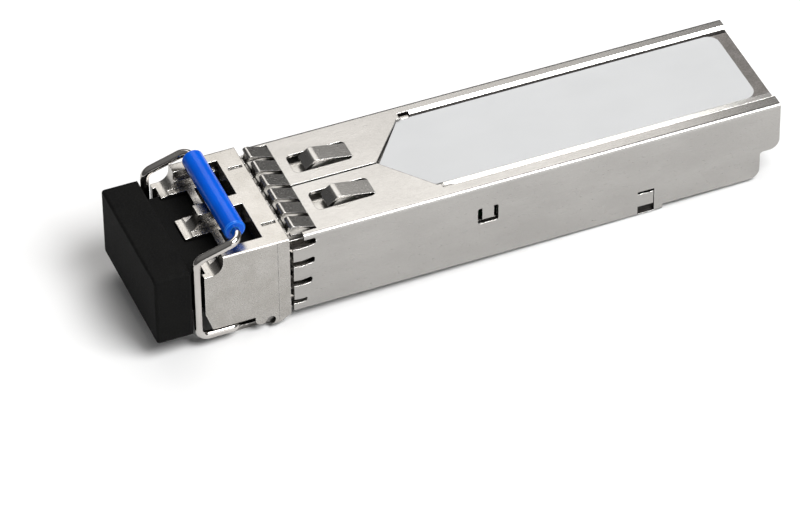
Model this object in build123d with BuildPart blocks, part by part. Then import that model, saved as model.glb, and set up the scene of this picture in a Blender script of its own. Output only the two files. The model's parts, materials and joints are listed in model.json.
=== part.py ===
from build123d import *
import os

os.makedirs("parts", exist_ok=True)

# Millimetres. +X runs to the rear of the module, where it enters the cage, -X to the duplex
# fibre ports, +Z up through the label. The origin is on the bottom face at mid-length.

# Stations along the module, all counted from the stop that meets the cage's front
stop_to_rear = 47.5
nose_reach = 9.0
rear_x = (stop_to_rear + nose_reach) / 2
stop_x = rear_x - stop_to_rear
front_x = stop_x - nose_reach

# Body that slides in the cage
body_width = 13.4
body_height = 8.5
half_body = body_width / 2
sheet = 0.3
sheet_bend = 0.5
cover_gap = 0.1

# Nose outside the cage
nose_side_step = 0.15
nose_top_step = 0.2
half_nose = half_body + nose_side_step
nose_top = body_height + nose_top_step
nose_bottom = 0.55
side_plate = 0.6

# Duplex fibre ports, each a fixed wall inside its flank
port_width = 4.5
port_height = 4.5
port_side = 1.325
port_pitch = body_width - port_width - 2 * port_side
port_floor = 2.15
port_back_depth = 1.0
port_back_x = stop_x - port_back_depth
port_axis_z = port_floor + port_height / 2
port_top = port_floor + port_height
ledge_height = 0.35
ledge_reach = 0.65
ledge_top = port_top + ledge_height
bulkhead = 1.6

# Bail: spring wire with a plastic sleeve on its grip
wire_d = 0.8
wire_gap = 0.2
bail_x = front_x + wire_d / 2
bail_inset = 0.2
bail_half = half_body - bail_inset
bail_pivot_reach = 5.0
bail_pivot_x = stop_x - bail_pivot_reach
bail_pivot_z = 0.0
bail_corner_rise = 0.05
bail_corner_z = nose_top + bail_corner_rise
grip_reach = 4.45
grip_x = stop_x - grip_reach
grip_rise = 1.3
grip_z = nose_top + grip_rise
bail_bend = 0.9
hinge_bend = 0.55
sleeve_d = 2.0
sleeve_end = 1.4
sleeve_length = body_width - 2 * sleeve_end
nose_front_x = front_x + wire_d + wire_gap
port_setback = 0.3
port_front_x = nose_front_x + port_setback

# Latch rocker
latch_pin_d = 0.8
latch_pivot_reach = 1.9
latch_pivot_x = stop_x - latch_pivot_reach
latch_pivot_z = -0.1
running_gap = 0.05
knuckle_radius = 0.95
boss_shoulder = 2.5
boss_length = 2.6
boss_width = 2.6
boss_height = 0.45
tongue_width = 6.0
tongue_gap = 0.15
tongue_bottom = 0.1
tongue_thick = 0.65
cavity_top = 1.5
rear_cavity_top = 1.7
cam_radius = 0.85
cam_offset = 0.2
cam_gap = 0.1

# Circuit board, at the height where the host connector takes it
board_bottom = 2.25
board_thick = 1.0
board_top = board_bottom + board_thick
board_edge_width = 9.2
board_edge_length = 9.5
board_reach = 41.8
board_rear_x = stop_x + boss_shoulder + board_reach
board_front_depth = 9.6
board_front_x = stop_x + board_front_depth

# Optical subassemblies
barrel_d = 2.9
ferrule_d = 1.25


def save(piece, name):
    piece.part.label = name
    export_step(piece.part, f"parts/{name}.step")


# Wrapped sheet cover

cover_set_back = 2.85
cover_front_x = stop_x + cover_set_back
cover_length = rear_x - cover_front_x
recess_depth = 0.4
recess_start = 10.95
recess_point = 3.9
recess_apex_x = stop_x + recess_start
recess_shoulder_x = recess_apex_x + recess_point
recess_border = 1.85
recess_border_top = 0.9
recess_border_floor = 1.6
recess_half_front = half_body - recess_border
recess_half_top = half_body - recess_border_top
recess_half_floor = half_body - recess_border_floor
relief_gap = 0.35
relief_start_x = recess_shoulder_x + relief_gap
relief_length = 1.1
seam_width = 0.2
finger_count_top = 6
finger_margin = 0.85
finger_width = 1.5
finger_pitch = (body_width - 2 * finger_margin - finger_width) / (finger_count_top - 1)
finger_length = 2.35
finger_crest = 2.1
finger_rise = 0.68
finger_tip = 0.5
finger_sheet = 0.2
finger_bend = 0.3
hook_width = 0.7
hook_drop = 0.45
hook_reach = 0.3
flank_length = 2.5
flank_crest = 1.75
flank_rise = 0.24
flank_tip = 0.16
flank_slot = 0.42
flank_slot_drops = (0.85, 2.9, 5.1, 7.3)
flank_slot_reaches = (2.55, 2.4, 2.1, 1.6)
corner_width = 0.6
corner_reach = 1.4
spring_y = 2.7
spring_width = 1.9
spring_slot_width = 2.55
spring_slot_start = 3.8
spring_slot_front_x = stop_x + spring_slot_start
slot_length = 5.6
spring_root_x = spring_slot_front_x + slot_length
spring_length = 4.5
spring_crest = 3.5
spring_tip_x = spring_root_x - spring_length
spring_peak_x = spring_root_x - spring_crest
spring_rise = 0.65
spring_bend = 0.5
tab_depth = 18.95
tab_x = stop_x + tab_depth
tab_width = 1.1
tab_slot = 0.45
tab_drop = 2.5
tab_top_z = body_height - tab_drop
tab_length = 1.3
catch_depth = 34.35
catch_x = stop_x + catch_depth
catch_width = 1.65
catch_height = 0.7
catch_slit_z = 2.6
catch_cut = 0.1
bottom_length = 36.0
bottom_open_x = stop_x + bottom_length
skirt_bottom = 0.6
rear_step = 1.9
step_rise = 0.25
rear_step_z = board_top + step_rise
rear_corner = 1.0
boss_window_half = tongue_width / 2 + 2 * tongue_gap
boss_window_length = 4.15
boss_window_rear_x = cover_front_x + boss_window_length

inner_half = half_body - sheet
inner_top = body_height - sheet
recess_floor = body_height - recess_depth

with BuildPart() as recess_tool:
    with BuildSketch(Plane.XY.offset(recess_floor)):
        with BuildLine():
            Polyline(
                (recess_apex_x, 0),
                (recess_shoulder_x, recess_half_front),
                (rear_x + sheet, recess_half_front),
                (rear_x + sheet, -recess_half_front),
                (recess_shoulder_x, -recess_half_front),
                close=True,
            )
        make_face()
    extrude(amount=2 * recess_depth)
    with BuildSketch(Plane.YZ.offset(relief_start_x)):
        slope = (recess_half_top - recess_half_floor) / recess_depth
        with BuildLine():
            Polyline(
                (-recess_half_floor, recess_floor),
                (recess_half_floor, recess_floor),
                (recess_half_top + slope * recess_depth, body_height + recess_depth),
                (-recess_half_top - slope * recess_depth, body_height + recess_depth),
                close=True,
            )
        make_face()
    extrude(amount=rear_x + sheet - relief_start_x)

with BuildPart() as cavity_tool:
    with BuildSketch(Plane.YZ.offset(cover_front_x - sheet)):
        with Locations((0, body_height / 2)):
            RectangleRounded(2 * inner_half, body_height - 2 * sheet, sheet_bend - sheet)
    extrude(amount=cover_length + 2 * sheet)
    with BuildSketch(Plane.XY.offset(recess_floor - sheet)):
        with BuildLine():
            Polyline(
                (recess_apex_x - 2 * sheet, 0),
                (recess_shoulder_x - sheet, recess_half_front + sheet),
                (rear_x + 2 * sheet, recess_half_front + sheet),
                (rear_x + 2 * sheet, -recess_half_front - sheet),
                (recess_shoulder_x - sheet, -recess_half_front - sheet),
                close=True,
            )
        make_face()
    extrude(amount=recess_depth + sheet, mode=Mode.SUBTRACT)
    with BuildSketch(Plane.YZ.offset(relief_start_x - sheet)):
        with BuildLine():
            Polyline(
                (-recess_half_floor - sheet, recess_floor - sheet),
                (recess_half_floor + sheet, recess_floor - sheet),
                (recess_half_top + sheet, body_height - sheet),
                (recess_half_top + sheet, body_height),
                (-recess_half_top - sheet, body_height),
                (-recess_half_top - sheet, body_height - sheet),
                close=True,
            )
        make_face()
    extrude(amount=rear_x + 3 * sheet - relief_start_x, mode=Mode.SUBTRACT)


def finger_plane(normal, root):
    """Plane whose x runs forward along a finger and whose y points out of the cover."""
    forward = Vector(-1, 0, 0)
    return Plane(origin=root, x_dir=forward, z_dir=forward.cross(Vector(*normal)))


def finger_profile(length, crest, rise, tip):
    """Strip that slopes out to its crest and bends down to the tip, thinner than the cover's sheet."""
    Polyline((0, -finger_sheet), (-sheet, -finger_sheet), (-sheet, 0), (0, 0))
    FilletPolyline((0, 0), (crest, rise), (length, tip), radius=finger_bend)
    Line((length, tip), (length, tip - finger_sheet))
    FilletPolyline(
        (length, tip - finger_sheet),
        (crest, rise - finger_sheet),
        (0, -finger_sheet),
        radius=finger_bend - finger_sheet,
    )


def hook_profile(length, tip):
    """Tongue from a finger's tip down into the groove behind the stop."""
    hook_end = cover_set_back + hook_reach
    Polyline(
        (length - finger_sheet, tip - finger_sheet),
        (length, tip - finger_sheet / 2),
        (length + finger_sheet, finger_sheet - hook_drop),
        (hook_end, finger_sheet - hook_drop),
        (hook_end, -hook_drop),
        (length, -hook_drop),
        close=True,
    )


# Contact fingers of the top, the pair under the body and the flanks' tongue heights
top_ys = [(i - (finger_count_top - 1) / 2) * finger_pitch for i in range(finger_count_top)]
slot_zs = [body_height - drop for drop in flank_slot_drops]
tongue_zs = [(high + low) / 2 for high, low in zip(slot_zs, slot_zs[1:])]
top_fingers = [((cover_front_x, y, body_height), (0, 0, 1)) for y in top_ys]
bottom_fingers = [((cover_front_x, y, 0), (0, 0, -1)) for y in (top_ys[0], top_ys[-1])]
flank_height = slot_zs[0] - slot_zs[-1]
flank_mid_z = (slot_zs[0] + slot_zs[-1]) / 2
flanks = [((cover_front_x, side * half_body, flank_mid_z), (0, side, 0)) for side in (-1, 1)]
flank_tongues = [((cover_front_x, side * half_body, z), (0, side, 0)) for side in (-1, 1) for z in tongue_zs]

# Each row: roots with their outward direction, width, and the profile's length, crest, rise and tip
strips = [
    (top_fingers, finger_width, (finger_length, finger_crest, finger_rise, finger_tip)),
    (bottom_fingers, finger_width, (flank_length, flank_crest, flank_rise, flank_tip)),
    (flanks, flank_height, (flank_length, flank_crest, flank_rise, flank_tip)),
]
hooks = [
    (top_fingers, finger_length, finger_tip),
    (bottom_fingers + flank_tongues, flank_length, flank_tip),
]

with BuildPart() as shell_cover:
    with BuildSketch(Plane.YZ.offset(cover_front_x)):
        with Locations((0, body_height / 2)):
            RectangleRounded(body_width, body_height, sheet_bend)
    extrude(amount=cover_length)
    add(recess_tool.part, mode=Mode.SUBTRACT)
    add(cavity_tool.part, mode=Mode.SUBTRACT)
    # Butt seam where the wrapped sheet closes on the top
    with BuildSketch(Plane.XY.offset(inner_top - sheet)):
        with Locations(((cover_front_x + recess_apex_x) / 2, 0)):
            Rectangle(recess_apex_x - cover_front_x, seam_width)
    extrude(amount=3 * sheet, mode=Mode.SUBTRACT)
    # Bend reliefs beside the recess shoulders
    relief_y = (recess_half_front + recess_half_top) / 2
    with BuildSketch(Plane.XY.offset(recess_floor - 2 * sheet)):
        with Locations(*[(relief_start_x + relief_length / 2, side * relief_y) for side in (-1, 1)]):
            Rectangle(relief_length, recess_half_top - recess_half_front)
    extrude(amount=4 * sheet, mode=Mode.SUBTRACT)
    # Slots round the two top contact springs
    with BuildSketch(Plane.XY.offset(inner_top - sheet)):
        with Locations(*[(spring_root_x - slot_length / 2, side * spring_y) for side in (-1, 1)]):
            RectangleRounded(slot_length, spring_slot_width, sheet_bend)
    extrude(amount=3 * sheet, mode=Mode.SUBTRACT)
    # The springs, bent up from their root to a contact crest and down at the tip
    for side in (-1, 1):
        with BuildSketch(Plane((0, side * spring_y, 0), x_dir=(1, 0, 0), z_dir=(0, -1, 0))):
            with BuildLine():
                Polyline(
                    (spring_root_x, inner_top),
                    (spring_root_x + sheet, inner_top),
                    (spring_root_x + sheet, body_height),
                    (spring_root_x, body_height),
                )
                FilletPolyline(
                    (spring_root_x, body_height),
                    (spring_peak_x, body_height + spring_rise),
                    (spring_tip_x, body_height - sheet / 2),
                    radius=spring_bend + sheet,
                )
                Line((spring_tip_x, body_height - sheet / 2), (spring_tip_x + sheet, inner_top - sheet / 2))
                FilletPolyline(
                    (spring_tip_x + sheet, inner_top - sheet / 2),
                    (spring_peak_x, inner_top + spring_rise),
                    (spring_root_x, inner_top),
                    radius=spring_bend,
                )
            make_face()
        extrude(amount=spring_width / 2, both=True)
    # Contact fingers of the collar, the flanks' ones still joined as one bowed sheet
    for roots, width, profile in strips:
        for root, normal in roots:
            with BuildSketch(finger_plane(normal, root)):
                with BuildLine():
                    finger_profile(*profile)
                make_face()
            extrude(amount=width / 2, both=True)
    # Folded corners that run on between the top's and the flanks' fingers
    for z, width, reach in (
        (body_height, flank_slot_drops[0], corner_reach),
        (0, slot_zs[-1], flank_length),
    ):
        with BuildSketch(Plane.YZ.offset(cover_front_x - reach)):
            with Locations((0, body_height / 2)):
                RectangleRounded(body_width, body_height, sheet_bend)
                RectangleRounded(
                    2 * inner_half, body_height - 2 * sheet, sheet_bend - sheet, mode=Mode.SUBTRACT
                )
                Rectangle(body_width - 2 * corner_width, body_height, mode=Mode.SUBTRACT)
            with Locations((0, body_height - z)):
                Rectangle(body_width, 2 * (body_height - width), mode=Mode.SUBTRACT)
        extrude(amount=reach)
    # Slots that part the flanks' fingers, open to the front
    with BuildSketch(Plane.XZ):
        for z, reach in zip(slot_zs, flank_slot_reaches):
            with Locations((stop_x + reach - flank_length, z)):
                SlotOverall(2 * flank_length, flank_slot)
    extrude(amount=body_width, both=True, mode=Mode.SUBTRACT)
    # Tongues that tuck in behind the stop
    for roots, length, tip in hooks:
        for root, normal in roots:
            with BuildSketch(finger_plane(normal, root)):
                with BuildLine():
                    hook_profile(length, tip)
                make_face()
            extrude(amount=hook_width / 2, both=True)
    # Locking tongues, cut free on three sides of each flank
    with BuildSketch(Plane.XZ.offset(half_body - sheet / 2)) as tab_sketch:
        tab_slot_height = tab_length + tab_slot
        with Locations((tab_x, tab_top_z - tab_slot_height / 2)):
            RectangleRounded(tab_width + 2 * tab_slot, tab_slot_height, tab_slot / 2)
        with Locations((tab_x, tab_top_z - tab_length / 2)):
            Rectangle(tab_width, tab_length, mode=Mode.SUBTRACT)
    extrude(tab_sketch.sketch, amount=sheet, both=True, mode=Mode.SUBTRACT)
    extrude(tab_sketch.sketch.mirror(Plane.XZ), amount=sheet, both=True, mode=Mode.SUBTRACT)
    # Catch windows at the lower bend, with the slit above them
    with BuildSketch(Plane.XZ):
        with Locations((catch_x, catch_height)):
            Rectangle(catch_width, catch_height)
        with Locations((catch_x, catch_slit_z)):
            RectangleRounded(catch_width, sheet, sheet / 3)
        with Locations((catch_x + (catch_width - catch_cut) / 2, (catch_height + catch_slit_z) / 2)):
            Rectangle(catch_cut, catch_slit_z - catch_height)
    extrude(amount=body_width, both=True, mode=Mode.SUBTRACT)
    # Bottom window for the latch boss, open to the front
    with BuildSketch(Plane.XY.offset(-sheet)):
        with Locations(((cover_front_x + boss_window_rear_x) / 2, 0)):
            Rectangle(boss_window_rear_x - cover_front_x, 2 * boss_window_half)
    extrude(amount=3 * sheet, mode=Mode.SUBTRACT)
    # Open bottom at the rear and the stepped, rounded ends of the flanks
    step_x = rear_x - rear_step
    with BuildSketch(Plane.XZ):
        with BuildLine():
            Polyline(
                (step_x - rear_corner, skirt_bottom),
                (bottom_open_x, skirt_bottom),
                (bottom_open_x, -sheet),
                (rear_x + sheet, -sheet),
                (rear_x + sheet, rear_step_z + rear_corner),
                (rear_x, rear_step_z + rear_corner),
            )
            RadiusArc(
                (step_x - rear_corner, skirt_bottom),
                (step_x, skirt_bottom + rear_corner),
                -rear_corner,
            )
            Line((step_x, skirt_bottom + rear_corner), (step_x, rear_step_z - sheet))
            RadiusArc((step_x, rear_step_z - sheet), (step_x + sheet, rear_step_z), sheet)
            Line((step_x + sheet, rear_step_z), (rear_x - rear_corner, rear_step_z))
            RadiusArc(
                (rear_x - rear_corner, rear_step_z),
                (rear_x, rear_step_z + rear_corner),
                -rear_corner,
            )
        make_face()
    extrude(amount=body_width, both=True, mode=Mode.SUBTRACT)
save(shell_cover, "shell_cover")

# Bare label in the recess

label_margin = 0.15
label_thick = 0.1
label_rear_gap = 1.2
label_rear_x = rear_x - label_rear_gap
label_corner = 0.8

with BuildPart() as label:
    with BuildSketch(Plane.XY.offset(recess_floor)) as label_sketch:
        with BuildLine():
            Polyline(
                (recess_apex_x + 2 * label_margin, 0),
                (recess_shoulder_x + label_margin, recess_half_front - label_margin),
                (label_rear_x, recess_half_front - label_margin),
                (label_rear_x, label_margin - recess_half_front),
                (recess_shoulder_x + label_margin, label_margin - recess_half_front),
                close=True,
            )
        make_face()
        fillet(label_sketch.vertices().group_by(Axis.X)[-1], label_corner)
    extrude(amount=label_thick)
save(label, "label")

# Die-cast nose and tray, one casting

neck_gap = 0.35
neck_half = inner_half - neck_gap
neck_top = inner_top - neck_gap - cover_gap
neck_bottom = sheet + neck_gap + cover_gap
tray_half = inner_half - cover_gap
tray_bottom = sheet + cover_gap
tray_rear_x = bottom_open_x
tray_wall = 0.55
tray_floor_top = 1.3
tray_high_length = 24.0
tray_high_x = stop_x + tray_high_length
tray_cover_gap = 1.2
tray_high_z = recess_floor - sheet - tray_cover_gap
tray_low_z = board_top
ledge_side = 0.4
ledge_half = board_edge_width / 2 + ledge_side
bay_top = neck_top
bay_rear_x = board_front_x - ledge_side
bay_web = 0.35
bay_floor = rear_cavity_top + bay_web
cavity_length = 8.4
cavity_rear_x = stop_x + cavity_length
cavity_half = tongue_width / 2 + tongue_gap
window_side = 1.1
window_front_half = half_body - window_side
bridge_half = 0.97
window_rear = 2.05
window_rear_x = stop_x - window_rear
scoop_depth = 1.8
scoop_floor = nose_top - scoop_depth
scoop_reach = 6.2
scoop_x = stop_x - scoop_reach
scoop_radius = 1.2
centre_wall = 1.4
centre_drop = 0.95
centre_top = nose_top - centre_drop
crossbar_width = 0.7
crossbar_reach = 4.95
crossbar_x = stop_x - crossbar_reach
ear_bottom = -0.6
ear_rear_z = 0.05
ear_tab_radius = 0.5
ear_tab_x = stop_x - 2.85
ear_tab_bottom = -0.26
plate_corner_z = 2.6
plate_foot_z = 0.8
plate_foot_x = 0.6
hook_slot = 0.6
plate_line_reach = 1.15
plate_line = 0.08
notch_length = 1.3
notch_width = 0.35
notch_reach = 0.9
nose_cavity_half = half_nose - side_plate
nose_cavity_rear_x = latch_pivot_x + knuckle_radius + tongue_gap
hinge_ear = 0.8
hinge_outer = bail_half - 2.3
hinge_inner = hinge_outer - hinge_ear
hinge_radius = 0.75
port_wall_x = port_front_x - nose_front_x
rest_margin = 0.3
rest_depth = 1.5
rest_top = recess_floor - sheet - cover_gap

with BuildPart() as die_cast_body:
    # Nose block with soft cast edges
    with BuildSketch(Plane.YZ.offset(nose_front_x)):
        with Locations((0, (nose_top + nose_bottom) / 2)):
            RectangleRounded(2 * half_nose, nose_top - nose_bottom, sheet_bend / 2)
    extrude(amount=stop_x - nose_front_x)
    # Side ears that hold the latch pin, with a round tab in front of it
    with BuildSketch(Plane.XZ):
        with BuildLine():
            Polyline(
                (ear_tab_x, nose_bottom + sheet),
                (ear_tab_x, latch_pivot_z + running_gap),
                (latch_pivot_x - latch_pin_d / 2, ear_bottom),
                (latch_pivot_x + latch_pin_d, ear_bottom),
                (stop_x, ear_rear_z),
                (stop_x, nose_bottom + sheet),
                close=True,
            )
        make_face()
        with Locations((ear_tab_x, ear_tab_bottom + ear_tab_radius)):
            Circle(ear_tab_radius)
        with Locations((ear_tab_x, nose_bottom)):
            Rectangle(2 * ear_tab_radius, 2 * (nose_bottom - ear_tab_bottom - ear_tab_radius))
    extrude(amount=half_nose, both=True)
    # Collar behind the stop, under the contact fingers
    with BuildSketch(Plane.YZ.offset(stop_x)):
        with Locations((0, (neck_top + neck_bottom) / 2)):
            Rectangle(2 * neck_half, neck_top - neck_bottom)
    extrude(amount=cover_set_back + sheet)
    # Bay for the optical subassemblies and the tray behind it
    with BuildSketch(Plane.YZ.offset(cover_front_x + sheet)):
        with Locations((0, (bay_top + tray_bottom) / 2)):
            Rectangle(2 * tray_half, bay_top - tray_bottom)
    extrude(amount=bay_rear_x - cover_front_x - sheet)
    with BuildSketch(Plane.YZ.offset(bay_rear_x)):
        with Locations((0, (tray_high_z + tray_bottom) / 2)):
            Rectangle(2 * tray_half, tray_high_z - tray_bottom)
    extrude(amount=tray_high_x - bay_rear_x)
    with BuildSketch(Plane.YZ.offset(tray_high_x)):
        with Locations((0, (tray_low_z + tray_bottom) / 2)):
            Rectangle(2 * tray_half, tray_low_z - tray_bottom)
    extrude(amount=tray_rear_x - tray_high_x)
    # Front face set back between the side plates
    with BuildSketch(Plane.YZ.offset(nose_front_x)):
        with Locations((0, nose_top / 2)):
            Rectangle(2 * nose_cavity_half, nose_top)
    extrude(amount=port_wall_x, mode=Mode.SUBTRACT)
    # The two ports
    with BuildSketch(Plane.YZ.offset(nose_front_x)):
        with Locations(*[(side * port_pitch / 2, port_axis_z) for side in (-1, 1)]):
            Rectangle(port_width, port_height)
    extrude(amount=port_back_x - nose_front_x, mode=Mode.SUBTRACT)
    # Room above the ports, open at the top between the bridge and the side walls
    port_outer = (port_pitch + port_width) / 2
    well_width = port_outer - centre_wall / 2
    with BuildSketch(Plane.XY.offset(ledge_top)):
        with Locations(*[
            ((nose_front_x + window_rear_x) / 2, side * (centre_wall / 2 + port_outer) / 2)
            for side in (-1, 1)
        ]):
            Rectangle(window_rear_x - nose_front_x, well_width)
    extrude(amount=nose_top, mode=Mode.SUBTRACT)
    with BuildSketch(Plane.XY.offset(centre_top)):
        with Locations(*[
            ((nose_front_x + window_rear_x) / 2, side * (bridge_half + window_front_half) / 2)
            for side in (-1, 1)
        ]):
            Rectangle(window_rear_x - nose_front_x, window_front_half - bridge_half)
    extrude(amount=nose_top, mode=Mode.SUBTRACT)
    # Latch slots between the port ledges, either side of the crossbar
    slot_inner = centre_wall / 2 + ledge_reach
    slot_outer = port_outer - ledge_reach
    for start_x, end_x in (
        (nose_front_x, crossbar_x - crossbar_width / 2),
        (crossbar_x + crossbar_width / 2, window_rear_x),
    ):
        with BuildSketch(Plane.XY.offset(port_top - sheet)):
            with Locations(*[
                ((start_x + end_x) / 2, side * (slot_inner + slot_outer) / 2) for side in (-1, 1)
            ]):
                Rectangle(end_x - start_x, slot_outer - slot_inner)
        extrude(amount=nose_top, mode=Mode.SUBTRACT)
    # Round scoop across the front, which clears the bail's corners
    with BuildSketch(Plane.XZ):
        with BuildLine():
            Line((nose_front_x - sheet, scoop_floor), (scoop_x - scoop_radius, scoop_floor))
            RadiusArc(
                (scoop_x - scoop_radius, scoop_floor),
                (scoop_x, scoop_floor + scoop_radius),
                -scoop_radius,
            )
            Line((scoop_x, scoop_floor + scoop_radius), (scoop_x, nose_top + sheet))
            Line((scoop_x, nose_top + sheet), (nose_front_x - sheet, nose_top + sheet))
            Line((nose_front_x - sheet, nose_top + sheet), (nose_front_x - sheet, scoop_floor))
        make_face()
    extrude(amount=half_nose, both=True, mode=Mode.SUBTRACT)
    # Space under the ports for the cams and the latch
    with BuildSketch(Plane.XZ):
        with BuildLine():
            Polyline(
                (nose_front_x - sheet, cavity_top),
                (nose_cavity_rear_x, cavity_top),
                (nose_cavity_rear_x, -2 * hinge_radius),
                (nose_front_x - sheet, -2 * hinge_radius),
                close=True,
            )
        make_face()
    extrude(amount=nose_cavity_half, both=True, mode=Mode.SUBTRACT)
    with BuildSketch(Plane.XY.offset(rear_cavity_top)):
        with Locations(((port_back_x + cavity_rear_x) / 2, 0)):
            Rectangle(cavity_rear_x - port_back_x, 2 * cavity_half)
    extrude(amount=-2 * rear_cavity_top, mode=Mode.SUBTRACT)
    # Hinge ears for the bail's inward ends
    for side in (-1, 1):
        ear_centre = (bail_pivot_x, side * (hinge_inner + hinge_outer) / 2, 0)
        with BuildSketch(Plane(ear_centre, x_dir=(1, 0, 0), z_dir=(0, -1, 0))):
            with Locations((0, bail_pivot_z)):
                Circle(hinge_radius)
            with Locations((0, (bail_pivot_z + cavity_top + sheet) / 2)):
                Rectangle(2 * hinge_radius, cavity_top + sheet - bail_pivot_z)
        extrude(amount=(hinge_outer - hinge_inner) / 2, both=True)
    with Locations(Location((bail_pivot_x, 0, bail_pivot_z), (90, 0, 0))):
        Cylinder(wire_d / 2 + running_gap, 2 * hinge_outer + sheet, mode=Mode.SUBTRACT)
    # Snap-in bearing for the latch pin, open forwards and down
    with Locations(Location((latch_pivot_x, 0, latch_pivot_z), (90, 0, 0))):
        Cylinder(latch_pin_d / 2 + running_gap, 2 * half_nose + sheet, mode=Mode.SUBTRACT)
    with Locations(Location((latch_pivot_x, 0, latch_pivot_z), (0, 45, 0))):
        Box(
            0.9 * latch_pin_d,
            2 * half_nose + sheet,
            1.6 * latch_pin_d,
            align=(Align.CENTER, Align.CENTER, Align.MAX),
            mode=Mode.SUBTRACT,
        )
    # Lower front corner of each side plate
    with BuildSketch(Plane.XZ):
        with BuildLine():
            Polyline(
                (nose_front_x - sheet, plate_corner_z),
                (nose_front_x, plate_corner_z),
                (nose_front_x + plate_foot_x, plate_foot_z),
                (nose_front_x + plate_foot_x + sheet, nose_bottom - sheet),
                (nose_front_x - sheet, nose_bottom - sheet),
                close=True,
            )
        make_face()
    extrude(amount=half_nose, both=True, mode=Mode.SUBTRACT)
    # Groove round the stop where the finger hooks tuck in
    hook_low = hook_drop + cover_gap
    with BuildSketch(Plane.YZ.offset(stop_x)):
        with Locations((0, body_height / 2)):
            Rectangle(body_width - sheet, body_height - sheet)
            Rectangle(body_width - 2 * hook_low, body_height - 2 * hook_low, mode=Mode.SUBTRACT)
        Rectangle(2 * cavity_half + sheet, 2 * rear_cavity_top + sheet, mode=Mode.SUBTRACT)
    extrude(amount=-hook_slot, mode=Mode.SUBTRACT)
    # Fine line down each side plate and two short notches in the top, where the mould parts
    with BuildSketch(Plane.YZ.offset(stop_x - plate_line_reach)):
        with Locations((0, nose_top / 2)):
            Rectangle(2 * half_nose, nose_top + 2 * sheet)
            Rectangle(2 * half_nose - plate_line, nose_top + 2 * sheet, mode=Mode.SUBTRACT)
    extrude(amount=plate_line, mode=Mode.SUBTRACT)
    with BuildSketch(Plane.XY.offset(nose_top - notch_width / 2)):
        with Locations(*[(stop_x - notch_reach, side * 2 * finger_pitch) for side in (-1, 1)]):
            Rectangle(notch_length, notch_width)
    extrude(amount=notch_width, mode=Mode.SUBTRACT)
    # Bores for the optical barrels and the bay behind them
    for side in (-1, 1):
        with Locations(Location((port_back_x, side * port_pitch / 2, port_axis_z), (0, 90, 0))):
            Cylinder(barrel_d / 2 + running_gap, 2 * (bulkhead + sheet), mode=Mode.SUBTRACT)
    bay_front_x = port_back_x + bulkhead
    with BuildSketch(Plane.YZ.offset(bay_front_x)):
        with Locations((0, (bay_floor + nose_top) / 2)):
            Rectangle(2 * (neck_half - tray_wall), nose_top - bay_floor)
    extrude(amount=bay_rear_x - bay_front_x, mode=Mode.SUBTRACT)
    # Tray behind the bay: floor, board ledges and side rails
    rail_half = tray_half - tray_wall
    with BuildSketch(Plane.YZ.offset(bay_rear_x)):
        with BuildLine():
            Polyline(
                (-ledge_half, tray_floor_top),
                (ledge_half, tray_floor_top),
                (ledge_half, board_bottom),
                (rail_half, board_bottom),
                (rail_half, nose_top),
                (-rail_half, nose_top),
                (-rail_half, board_bottom),
                (-ledge_half, board_bottom),
                close=True,
            )
        make_face()
    extrude(amount=tray_rear_x - bay_rear_x, mode=Mode.SUBTRACT)
    # Rests under the cover at its bend reliefs
    rest_inner = recess_half_front + sheet
    for side in (-1, 1):
        with Locations((relief_start_x + relief_length / 2, side * (rest_inner + tray_half) / 2, rest_top)):
            Box(
                relief_length + 2 * rest_margin,
                tray_half - rest_inner,
                rest_depth,
                align=(Align.CENTER, Align.CENTER, Align.MAX),
            )
    # Pockets behind the cover's locking tongues
    with BuildSketch(Plane.XZ):
        with Locations((tab_x, tab_top_z - tab_length / 2 - sheet / 2)):
            Rectangle(tab_width + 2 * tab_slot, tab_length + tab_slot)
    extrude(amount=tray_half, both=True, mode=Mode.SUBTRACT)
save(die_cast_body, "die_cast_body")

# Circuit board and what it carries

board_half = rail_half - cover_gap
board_length = board_rear_x - board_front_x
board_neck_x = board_rear_x - board_edge_length
board_lead = 0.3
contact_count = 10
contact_pitch = 0.8
contact_width = 0.55
contact_length = 3.6
contact_thick = 0.05
contact_inset = 0.3

with BuildPart() as circuit_board:
    with BuildSketch(Plane.XY.offset(board_bottom)) as board_sketch:
        with BuildLine():
            Polyline(
                (board_front_x, board_half),
                (board_neck_x, board_half),
                (board_neck_x + board_half - board_edge_width / 2, board_edge_width / 2),
                (board_rear_x, board_edge_width / 2),
                (board_rear_x, -board_edge_width / 2),
                (board_neck_x + board_half - board_edge_width / 2, -board_edge_width / 2),
                (board_neck_x, -board_half),
                (board_front_x, -board_half),
                close=True,
            )
        make_face()
    extrude(amount=board_thick)
    chamfer(circuit_board.faces().sort_by(Axis.X)[-1].edges().filter_by(Axis.Y), board_lead)
save(circuit_board, "circuit_board")

contact_x = board_rear_x - contact_inset - contact_length / 2
contact_ys = [(i - (contact_count - 1) / 2) * contact_pitch for i in range(contact_count)]
for contact_name, contact_z in (
    ("edge_contacts_top", board_top),
    ("edge_contacts_bottom", board_bottom - contact_thick),
):
    with BuildPart() as edge_contacts:
        with BuildSketch(Plane.XY.offset(contact_z)):
            with Locations(*[(contact_x, y) for y in contact_ys]):
                Rectangle(contact_length, contact_width)
        extrude(amount=contact_thick)
    save(edge_contacts, contact_name)


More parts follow.
